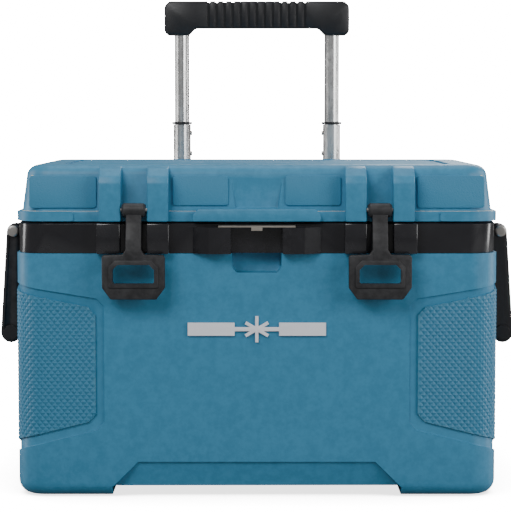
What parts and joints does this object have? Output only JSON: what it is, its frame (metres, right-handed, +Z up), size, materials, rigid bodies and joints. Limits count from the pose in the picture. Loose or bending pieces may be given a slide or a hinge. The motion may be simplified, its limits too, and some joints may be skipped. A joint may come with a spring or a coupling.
{
  "type": "wheeled cooler",
  "caption": "Hard-sided wheeled cooler with a hinged insulated lid, rubber latches, side bail handles, telescoping pull handle, rear wheels and a drain.",
  "frame": {"origin": "on the floor, at the middle of the whole object's box in X and Y", "axes": "+X to the right across the front as seen from the front, +Y from the front towards the pull handle and wheels, +Z up"},
  "size_m": [0.646, 0.482, 0.627],
  "materials": {
    "blue_moulding": "satin",
    "black_moulding": "satin",
    "gloss_collar": "gloss",
    "black_rubber": "matte",
    "liner_white": "satin",
    "bush_nylon": "satin",
    "foam": "matte",
    "bright_aluminium": "satin",
    "steel": "satin",
    "emblem_white": "satin",
    "tyre_grey": "matte"
  },
  "bodies": {
    "root": {"body_shell": "blue_moulding", "body_insulation": "foam", "inner_liner": "liner_white", "collar": "gloss_collar", "opener_plate": "steel", "hinge_rod_left": "steel", "hinge_rod_right": "steel", "handle_pin_left_front": "steel", "handle_pin_left_rear": "steel", "handle_pin_right_front": "steel", "handle_pin_right_rear": "steel", "rear_chassis": "black_moulding", "chassis_screw_1": "steel", "chassis_screw_2": "steel", "chassis_screw_3": "steel", "chassis_screw_4": "steel", "housing_bush_left": "black_rubber", "housing_bush_right": "black_rubber", "axle": "steel", "axle_cap": "steel", "drain_spout": "black_moulding", "front_emblem": "emblem_white"},
    "lid": {"lid_shell": "blue_moulding", "lid_insulation": "foam", "lid_liner": "liner_white", "lid_gasket": "black_rubber", "latch_pin_left": "steel", "latch_pin_right": "steel"},
    "latch_left": {"latch_left": "black_rubber"},
    "latch_right": {"latch_right": "black_rubber"},
    "side_handle_left": {"side_handle_left": "black_moulding", "side_grip_rod_left": "steel"},
    "side_handle_right": {"side_handle_right": "black_moulding", "side_grip_rod_right": "steel"},
    "lower_stage": {"lower_tube_left": "bright_aluminium", "lower_tube_right": "bright_aluminium", "lower_bush_left": "black_moulding", "lower_bush_right": "black_moulding", "detent_leaf_left": "black_moulding", "detent_leaf_right": "black_moulding"},
    "upper_stage": {"upper_tube_left": "bright_aluminium", "upper_tube_right": "bright_aluminium", "tube_plug_left": "black_moulding", "tube_plug_right": "black_moulding", "handle_grip": "black_moulding", "button_spring": "steel"},
    "release": {"release_button": "black_moulding", "pull_rod_left": "steel", "pull_rod_right": "steel"},
    "lock_pin_left": {"lock_pin_left": "steel"},
    "lock_pin_right": {"lock_pin_right": "steel"},
    "wheel_left": {"wheel_hub_left": "black_moulding", "tyre_left": "tyre_grey", "wheel_bush_left": "bush_nylon"},
    "wheel_right": {"wheel_hub_right": "black_moulding", "tyre_right": "tyre_grey", "wheel_bush_right": "bush_nylon"},
    "drain_stem": {"drain_stem": "black_moulding", "drain_seal": "black_rubber"},
    "drain_cap": {"drain_cap": "black_moulding"}
  },
  "joints": [
    {"name": "lid_hinge", "type": "hinge", "parent": "root", "child": "lid", "pos_m": [0, 0.148, 0.347], "axis": [-1, 0, 0], "range_deg": [0, 90]},
    {"name": "latch_pivot_left", "type": "hinge", "parent": "lid", "child": "latch_left", "pos_m": [-0.1484, -0.225, 0.351], "axis": [-1, 0, 0], "range_deg": [0, 110]},
    {"name": "latch_pivot_right", "type": "hinge", "parent": "lid", "child": "latch_right", "pos_m": [0.1484, -0.225, 0.351], "axis": [-1, 0, 0], "range_deg": [0, 110]},
    {"name": "side_handle_pivot_left", "type": "hinge", "parent": "root", "child": "side_handle_left", "pos_m": [-0.3065, -0.016, 0.32], "axis": [0, 1, 0], "range_deg": [0, 100]},
    {"name": "side_handle_pivot_right", "type": "hinge", "parent": "root", "child": "side_handle_right", "pos_m": [0.3065, -0.016, 0.32], "axis": [0, -1, 0], "range_deg": [0, 100]},
    {"name": "lower_stage_slide", "type": "slide", "parent": "root", "child": "lower_stage", "axis": [0, 0, 1], "range_m": [-0.1, 0.13]},
    {"name": "upper_stage_slide", "type": "slide", "parent": "lower_stage", "child": "upper_stage", "axis": [0, 0, 1], "range_m": [-0.11, 0.1]},
    {"name": "release_press", "type": "slide", "parent": "upper_stage", "child": "release", "axis": [0, 0, -1], "range_m": [0, 0.004], "stiffness_N_per_m": 800, "springref_m": -0.004, "deforming": ["button_spring"]},
    {"name": "lock_pin_left_retract", "type": "slide", "parent": "upper_stage", "child": "lock_pin_left", "axis": [-1, 0, 0], "range_m": [0, 0.003]},
    {"name": "lock_pin_right_retract", "type": "slide", "parent": "upper_stage", "child": "lock_pin_right", "axis": [1, 0, 0], "range_m": [0, 0.003]},
    {"name": "wheel_left_spin", "type": "hinge", "parent": "root", "child": "wheel_left", "pos_m": [-0.259, 0.169, 0.07], "axis": [1, 0, 0], "continuous": true},
    {"name": "wheel_right_spin", "type": "hinge", "parent": "root", "child": "wheel_right", "pos_m": [0.259, 0.169, 0.07], "axis": [1, 0, 0], "continuous": true},
    {"name": "drain_stem_travel", "type": "slide", "parent": "root", "child": "drain_stem", "axis": [1, 0, 0], "range_m": [0, 0.0041]},
    {"name": "drain_cap_turn", "type": "hinge", "parent": "drain_stem", "child": "drain_cap", "pos_m": [0.305, 0.034, 0.084], "axis": [1, 0, 0], "range_deg": [0, 360]}
  ],
  "couplings": [
    {"joint": "lock_pin_left_retract", "follows": "release_press", "ratio": 0.75},
    {"joint": "lock_pin_right_retract", "follows": "release_press", "ratio": 0.75},
    {"joint": "drain_stem_travel", "follows": "drain_cap_turn", "m_per_rad": 0.00063662}
  ]
}
